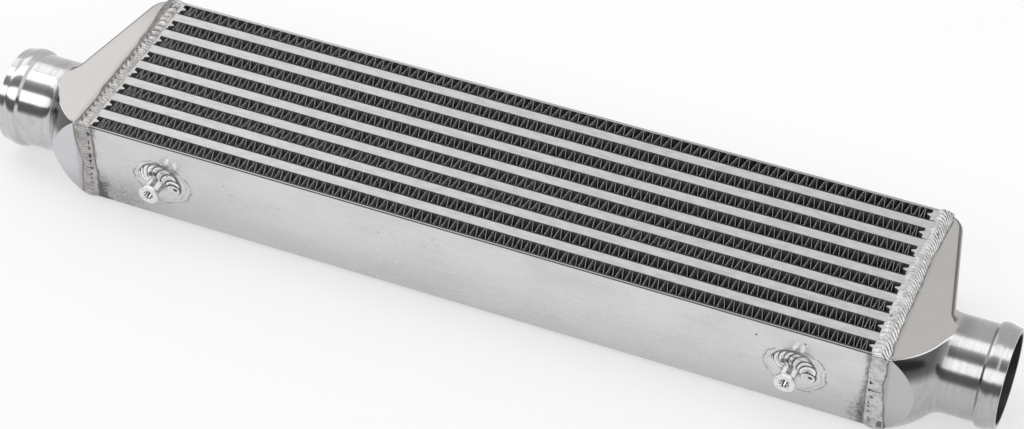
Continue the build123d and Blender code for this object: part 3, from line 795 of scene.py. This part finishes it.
def seam_bead(side, finish):
    """The weld bead round one seam.

    A crown (1 - v^2.4)^0.9 is carried round the core's outline, v running from -1 at the core's
    toe to 1 at the tank's. Its ripples are a stack of thin shells: their phase is the number of
    beats laid so far minus an arc that grows with the distance across, and the height between
    two shells is a power of a sine. Each valley is sooted and followed by a painted highlight.
    Flaws are blots exp(-d^3) sunk in the crown, and the toes end in a thin dark film, which is
    etched metal and painted shade of an undercut.
    """
    count = 1480
    y, z, out_y, out_z, s, total = seam_path(count)
    turn = s / total
    seed = 540 if side > 0 else 500
    blur = np.ones(25) / 25
    top, front = (
        np.convolve(np.concatenate((face[-12:], face, face[:12])), blur, "valid")
        for face in ((out_z > 0.7).astype(float), (out_y < -0.7).astype(float))
    )
    rest = 1 - top - front

    def along(key, otherwise, sway, k):
        """A toe: its curves on the top and the front, a plain run elsewhere, and a drift."""
        on_top = np.interp(y, *TOES[side][f"{key}_top"])
        on_front = np.interp(z, *TOES[side][f"{key}_front"])
        return top * on_top + front * on_front + rest * otherwise + sway * wander(turn, seed + k, 34)

    core_toe, tank_toe = along("core", -5.4, 0.3, 1), along("tank", 5.6, 0.36, 2)
    v = np.concatenate(([-1.14, -1.06], np.linspace(-1.0, 1.0, 33), [1.06, 1.14]))[None]
    across = (core_toe + tank_toe)[:, None] / 2 + v * (tank_toe - core_toe)[:, None] / 2
    top, front, rest, y, z, turn_at = (w[:, None] for w in (top, front, rest, y, z, turn))

    def grain(cells, columns, first, k):
        """Lumps over the bead: so many cells round it, and columns for each unit of v."""
        u = turn_at * cells + 0 * v
        return lumps(u, v * columns + first + 0 * turn_at, seed + k, cells)

    inside = np.clip(np.abs(v), 0, 1)
    crown = (1 - inside**2.4) ** 0.9
    bulk = 1.25 + 0.12 * wander(turn, seed + 3, 12)
    height = bulk[:, None] * crown
    pitch, arc, bold, rough_weld = seam_ripples(side, top, front, rest, across, y, z)
    beats = np.cumsum(total / count / pitch)
    beats = beats * round(beats[-1]) / beats[-1]
    phase = beats[:, None] - arc / pitch + 0.22 * grain(90, 2, 8, 5)
    shell = np.abs(np.sin(np.pi * phase)) ** 0.6
    each = np.random.default_rng(seed + 6).uniform(0.5, 1.3, 400)[np.floor(phase).astype(int) % 400]
    fade = 1 - smooth(0.8, 1.0, inside)
    height = height + bold * each * (shell - 1) * fade
    bumps = grain(130, 3, 8, 7) + 0.6 * grain(330, 7, 20, 8)
    height = height + rough_weld * bumps * crown
    # sooty valleys, each followed by a painted highlight
    soot = np.clip(smooth(0.78, 0.3, shell) * fade * np.clip(bold * 2.6, 0, 1) * each, 0, 1)
    later = phase % 1.0
    painted_highlight = smooth(0.12, 0.3, later) * smooth(0.62, 0.4, later)
    painted_highlight = np.clip(painted_highlight * fade * np.clip(bold * 3.0, 0, 1) * each, 0, 1)
    # flaws, drawn with a ragged edge
    rag_s, rag_x = 0.9 * grain(300, 9, 20, 9), 0.9 * grain(300, 9, 20, 10)
    for face, place, off, reach, width, depth, dark in FLAWS[side]:
        mask, run = (top, y) if face == "top" else (front, z)
        gone, aside = (run - place) / reach + rag_s / 2, (across - off) / width + rag_x / 2
        blot = np.exp(-((gone**2 + aside**2) ** 1.5)) * (mask > 0.5)
        height = height - depth * blot
        soot = np.maximum(soot, dark * smooth(0.15, 0.6, blot))
    if side < 0:
        # a row of undercut teeth beside a sooty band
        teeth = np.cos(2 * np.pi * (y / 5.1 + 0.2 * rag_s - across * 0.16))
        teeth = smooth(0.15, 0.75, teeth) * smooth(2.6, 1.2, np.abs(across - 1.3))
        teeth = teeth * top * smooth(48, 30, y)
        height = height - 0.35 * teeth
        band = smooth(0.6, 2.4, across + rag_x * 0.8) * top * (0.6 + 0.1 * rag_s)
        soot = np.maximum(soot, np.maximum(teeth * 0.8, band))
    # the film at the toes, dark as etched metal and as painted shade of an undercut, and the skirt under
    # it
    film = smooth(0.82, 0.93, v) + smooth(0.86, 0.95, -v) * (front + 0.2 * top + 0.6 * rest)
    skirt = smooth(1.07, 1.13, np.abs(v))
    height = np.maximum(height, 0.04 * (1 - skirt)) - skirt * 1.6
    soot = np.clip(np.maximum(soot, film * (0.62 + 0.3 * rag_s)), 0, 1)
    # below 0 the mark carries the painted highlights
    soot = np.where(soot > 0.1, soot, -PAINTED_HIGHLIGHT_STRENGTH[side] * painted_highlight * (1 - front))
    # the sunken back of the bead closes the ring
    back_x = np.stack((across[:, -1] - 1.0, across[:, 0] + 1.0), axis=-1)
    across = np.concatenate((across, back_x), axis=1)
    height = np.concatenate((height, np.full_like(back_x, -1.7)), axis=1)
    soot = np.concatenate((soot, np.ones_like(back_x)), axis=1)
    place = (side * (SEAM + across), y + out_y[:, None] * height, z + out_z[:, None] * height)
    name, node = f"seam_bead_{HANDS[side]}", f"tank_weld_{HANDS[side]}"
    quads = grid_quads(*across.shape, True, True)
    make_piece(name, np.stack(place, axis=-1), quads, finish, node, {"soot": soot}, 60)


# ---------------------------------------------------------------- bosses


def about_boss(side, radius, angle, height):
    """Points at a radius and an angle round a boss's axis, at a height over the front plate."""
    x, z = side * BOSS_X + radius * np.cos(angle), AXIS_Z + radius * np.sin(angle)
    return np.stack((x, FRONT - height, z), axis=-1)


def boss_bead(side, finish):
    """The weld bead laid over the top of a boss's foot, ending in a crater on its right.

    The bead is a row of round pools laid one over the other along an arc that widens clockwise.
    A point belongs to the last pool that covers it. Its height over the plate is a crown
    (1 - q^2)^0.7, with q its distance from the arc in pool radii, plus a climb up the boss, plus
    a rim that rises within the first millimetre inside the pool's edge and then falls away
    slowly. The last pool is whole, so it sinks to a crater, with a pit. A low fillet joins the
    boss elsewhere.
    """
    foot, pool, pools, steps = 5.15, 5.9, 9, 320
    draw = np.random.default_rng(640 if side > 0 else 600)
    angle, r = np.meshgrid(
        np.arange(steps) * 2 * np.pi / steps, np.linspace(foot, 18.0, 98), indexing="ij"
    )
    across, up = r * np.cos(angle), r * np.sin(angle)
    first, last = (160.0, -16.0) if side < 0 else (152.0, -19.0)

    def arc(part):
        """The middle of the bead at a part of its way."""
        heading = np.radians(first + (last - first) * part)
        away = 9.4 + 2.4 * part**3
        return away * np.cos(heading), away * np.sin(heading)

    line_x, line_z = arc(np.linspace(0, 1, 90))
    q = np.sqrt((across[..., None] - line_x) ** 2 + (up[..., None] - line_z) ** 2).min(axis=-1) / pool
    crown = np.clip(1 - q**2, 0, 1) ** 0.7
    parts = np.clip(np.linspace(0, 1, pools) + draw.normal(0, 0.014, pools), 0, 1)
    parts[-1] = 1.0
    # how far inside its pool's edge a point is, and which part of the way that pool is laid at
    into, laid = np.full_like(r, -1.0), np.zeros_like(r)
    for part in parts:
        x, z = arc(part)
        size = pool * (draw.uniform(0.93, 1.04) if part < 1 else 0.92)
        gone = size - np.hypot(across - x, up - z)
        into = np.where(gone > 0, gone, into)
        laid = np.where(gone > 0, part, laid)
    covered = into >= 0
    rim = 0.85 * smooth(0.0, 0.9, into) - 0.24 * into
    climb = 2.7 * smooth(12.0, 4.6, r) * smooth(1.0, 0.7, laid)
    height = np.where(covered, 2.2 * crown - 0.3 + climb + rim * (0.45 + 0.55 * crown), -0.3)
    fillet = 1.6 * np.exp(-((r - foot) / 1.4)) - 0.12
    height = np.maximum(height, fillet)
    end_x, end_z = arc(1.0)
    pit = np.hypot((across - end_x - 1.6) / 1.25, up - end_z - 0.9)
    height = height - 0.9 * smooth(1.3, 0.6, pit)
    height = np.where(height < 0.02, -0.3, np.clip(height, -0.3, 6.0))
    # painted highlights just inside each pool's edge and round the crater; the dark lines along each
    # pool's edge are painted reflections of the dark surroundings, the pit is sooted, and the bead is
    # darker where it runs low
    rippled = covered * crown**0.25
    painted_highlight = smooth(0.9, 1.15, into) * smooth(2.6, 1.7, into) * rippled
    painted_highlight = painted_highlight * draw.uniform(0.35, 0.85, pools)[np.searchsorted(np.sort(parts), laid)]
    painted_highlight = np.maximum(painted_highlight, 0.3 * smooth(5.0, 2.5, np.hypot(across - end_x, up - end_z)))
    soot = np.maximum(smooth(1.0, 0.45, into) * rippled, smooth(1.45, 0.95, pit))
    soot = np.maximum(soot, smooth(0.15, 0.0, height) * 0.45)
    soot = np.where(soot > 0.1, soot, -painted_highlight)
    # the sunken back of the bead closes the ring
    under = np.full((steps, 1), -0.9)
    r = np.concatenate((r, r[:, -1:], r[:, :1]), axis=1)
    height = np.concatenate((height, under, under), axis=1)
    soot = np.concatenate((soot, under * 0, under * 0), axis=1)
    name, node = f"boss_bead_{HANDS[side]}", f"boss_weld_{HANDS[side]}"
    points = about_boss(side, r, angle[:, :1], height)
    quads = grid_quads(*r.shape, True, True)
    make_piece(name, points, quads, finish, node, {"soot": soot}, 60)


def tapped_boss(side, finish):
    """A turned boss: a profile carried round its axis, with a thread cut in its hole.

    The profile is (radius, height over the plate). In the hole the radius is the tapping radius
    plus the thread's depth times a triangle wave of height / pitch + angle / turn, a true helix.
    """
    outer = np.array(
        [
            (6.4, -0.5), (6.4, 1.0), (6.2, 1.5), (5.75, 2.2), (5.4, 2.9), (5.2, 3.8),
            (5.2, 10.8), (5.3, 11.05), (6.95, 12.45), (7.15, 12.65), (BOSS_HEAD, 12.9),
            (BOSS_HEAD, 14.55), (7.1, 14.85), (6.85, 15.0), (3.75, 15.0), (3.3, 14.75),
        ]
    )
    bottom = np.array([(2.4, 3.0), (1.2, 2.6)])
    steps, turns, thread_top = 72, 11, 14.4
    angles = np.arange(steps)[:, None] * 2 * np.pi / steps
    drop = np.linspace(thread_top, thread_top - turns * THREAD_PITCH, turns * 8 + 1)
    lead = drop / THREAD_PITCH + angles / (2 * np.pi)
    cut = np.clip(np.abs((lead % 1.0) * 2 - 1) * 1.3 - 0.15, 0, 1)
    runout = smooth(14.5, 13.9, drop) * smooth(3.4, 4.2, drop)
    thread = HOLE_RADIUS + THREAD_DEPTH * cut * runout + 0.7 * smooth(13.9, 14.5, drop)
    rims = (np.tile(outer[:, 0], (steps, 1)), thread, np.tile(bottom[:, 0], (steps, 1)))
    radius = np.concatenate(rims, axis=1)
    height = np.tile(np.concatenate((outer[:, 1], drop, bottom[:, 1])), (steps, 1))
    foot = np.arange(steps) * radius.shape[1]
    end = foot + radius.shape[1] - 1
    quads = np.vstack((grid_quads(*radius.shape, True, False), disc_quads(foot), disc_quads(end)[:, ::-1]))
    name, node = f"tapped_boss_{HANDS[side]}", f"threaded_boss_{HANDS[side]}"
    make_piece(name, about_boss(side, radius, angles, height), quads, finish, node)


# ---------------------------------------------------------------- the object

fin_metal = fin_finish()
for row in range(ROWS):
    fin_strip(row, fin_metal)

seam_metals = {
    -1: bead_finish("seam_weld_left", (0.35, 0.335, 0.33), (0.54, 0.52, 0.51), 0.2, 1.0),
    1: bead_finish("seam_weld_right", (0.43, 0.43, 0.428), (0.64, 0.64, 0.635), 0.16, 1.0),
}
boss_metal = bead_finish("boss_weld_metal", (0.50, 0.50, 0.52), (0.68, 0.68, 0.70), 0.07, 0.12)
turned_metal = turned_finish()
for side in HANDS:
    seam_bead(side, seam_metals[side])
    boss_bead(side, boss_metal)
    tapped_boss(side, turned_metal)

bar_metal = ground_finish("ground_closing_bar", (0.49, 0.49, 0.487))
sheet_metal = ground_finish("ground_parting_sheet", (0.47, 0.47, 0.467))
low_sheet_metal = ground_finish("shaded_parting_sheet", (0.035, 0.035, 0.035))
for side in HANDS:
    end_bars(side, bar_metal)

# The solids that are shown as they are, by the start of their names. The parting sheet in front
# of a cooling row, which has an even number, is left dark, and the one behind it is ground.
finishes = {
    "side_plate_front": front_plate_finish(),
    "side_plate_back": back_plate_finish(),
    "tank_left": tank_finish(-1),
    "tank_right": tank_finish(1),
    "face_bar": bar_metal,
    "charge_fin": fin_metal,
}
for number in range(1, 2 * ROWS - 1):
    finishes[f"parting_sheet_{number:02}"] = sheet_metal if number % 2 else low_sheet_metal
for name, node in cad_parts.items():
    for start, finish in finishes.items():
        if name.startswith(start):
            for place in node.material_slots:
                place.material = finish

# ---------------------------------------------------------------- floor, cards and lamps


def stage_sheet(name, corners, finish, seen=True):
    """A flat four-cornered sheet of the studio."""
    mesh = bpy.data.meshes.new(name)
    mesh.from_pydata(corners, [], [(0, 1, 2, 3)])
    mesh.materials.append(finish)
    sheet = bpy.data.objects.new(name, mesh)
    bpy.context.scene.collection.objects.link(sheet)
    sheet.visible_camera = seen


def floor_finish():
    """White floor that keeps soft shadows: part of what the eye and metal see is its own white."""
    f = Finish("white_floor", Roughness=0.9, Base_Color=(0.8, 0.8, 0.8, 1.0), Specular_IOR_Level=0.0)
    rays = f.add("ShaderNodeLightPath").outputs
    seen, *others = (Wire(f, rays[f"Is {kind} Ray"]) for kind in ("Camera", "Glossy", "Transmission"))
    for other in others:
        seen = seen.higher_of(other)
    glow = f.node("ShaderNodeEmission", {}, {"Strength": 1.0})
    mixed = f.node("ShaderNodeMixShader", {}, {0: seen * 0.55, 1: f.skin, 2: glow})
    f.feed(f.output.inputs["Surface"], mixed)
    return f.material


def card_finish(name, dark, light, start, end):
    """Grey card that pales between two heights, given in millimetres."""
    f = Finish(name, Roughness=0.9, Specular_IOR_Level=0.0)
    return f.use(Base_Color=f.blend(f.z.rise(start, end), dark, light)).material


def round_x(angle, distance):
    """The y and z at an angle round x, in degrees from +y towards +z."""
    return distance * math.cos(math.radians(angle)), distance * math.sin(math.radians(angle))


def card(name, angle, spread, distance, first, last, finish):
    """A long grey card parallel to x from first to last, in metres, unseen by the camera."""
    y0, z0 = round_x(angle - spread / 2, distance)
    y1, z1 = round_x(angle + spread / 2, distance)
    corners = [(first, y0, z0), (last, y0, z0), (last, y1, z1), (first, y1, z1)]
    stage_sheet(name, corners, finish, seen=False)


def soft_lamp(name, angle, spread, distance, first, last, radiance):
    """A long soft lamp parallel to x from first to last, spread over that angle, facing the object."""
    lamp = bpy.data.lights.new(name, "AREA")
    lamp.shape = "RECTANGLE"
    lamp.size = last - first
    lamp.size_y = 2 * distance * math.tan(math.radians(spread / 2))
    lamp.energy = 4 * radiance * lamp.size * lamp.size_y
    holder = bpy.data.objects.new(name, lamp)
    holder.location = ((first + last) / 2, *round_x(angle, distance))
    holder.rotation_euler = (math.radians(angle - 90), 0, 0)
    holder.visible_camera = False
    bpy.context.scene.collection.objects.link(holder)


ground, reach = cad_box[0].z, 20
floor_corners = [(x * reach, y * reach, ground) for x, y in ((-1, -1), (1, -1), (1, 1), (-1, 1))]
stage_sheet("floor", floor_corners, floor_finish())
upper_grey = card_finish("upper_card_grey", 0.30, 0.62, 2480.0, 2745.0)
lower_grey = card_finish("lower_card_grey", 0.16, 0.55, 420.0, 20.0)
card("upper_card", 109.8, 27.5, 2.75, -9.0, 1.6, upper_grey)
card("lower_card", 165.3, 28.6, 2.75, -9.0, 9.0, lower_grey)
soft_lamp("overhead_lamp", 81.5, 27.0, 2.6, -6.0, 2.2, 0.8)
soft_lamp("front_lamp", 137.0, 26.0, 2.6, -6.0, 2.6, 0.8)
soft_lamp("rear_lamp", 50.0, 30.0, 3.0, -3.2, -1.0, 0.45)

world = bpy.data.worlds.new("studio")
world.use_nodes = True
sky = world.node_tree.nodes["Background"]
sky.inputs["Color"].default_value = (1, 1, 1, 1)
sky.inputs["Strength"].default_value = 1.0
bpy.context.scene.world = world
bpy.context.scene.view_settings.view_transform = "Standard"

# ---------------------------------------------------------------- camera


def make_camera(place, turn, tilt, focal_length):
    """A camera at a place in metres, turned round z and tilted down by angles in degrees."""
    lens = bpy.data.cameras.new("camera")
    lens.sensor_fit = "HORIZONTAL"
    lens.sensor_width = 36.0
    lens.lens = focal_length
    lens.clip_start, lens.clip_end = 0.05, 100.0
    turn, tilt = math.radians(turn), math.radians(tilt)
    rightward = Vector((math.cos(turn), math.sin(turn), 0.0))
    backward = Vector(
        (math.sin(turn) * math.cos(tilt), -math.cos(turn) * math.cos(tilt), math.sin(tilt))
    )
    upward = backward.cross(rightward)
    rows = [(rightward[i], upward[i], backward[i], place[i]) for i in range(3)]
    camera = bpy.data.objects.new("camera", lens)
    camera.matrix_world = Matrix(rows + [(0, 0, 0, 1)])
    bpy.context.scene.collection.objects.link(camera)
    bpy.context.scene.camera = camera


make_camera((0.50656, -1.21403, 1.28652), turn=22.47, tilt=43.91, focal_length=96.68)
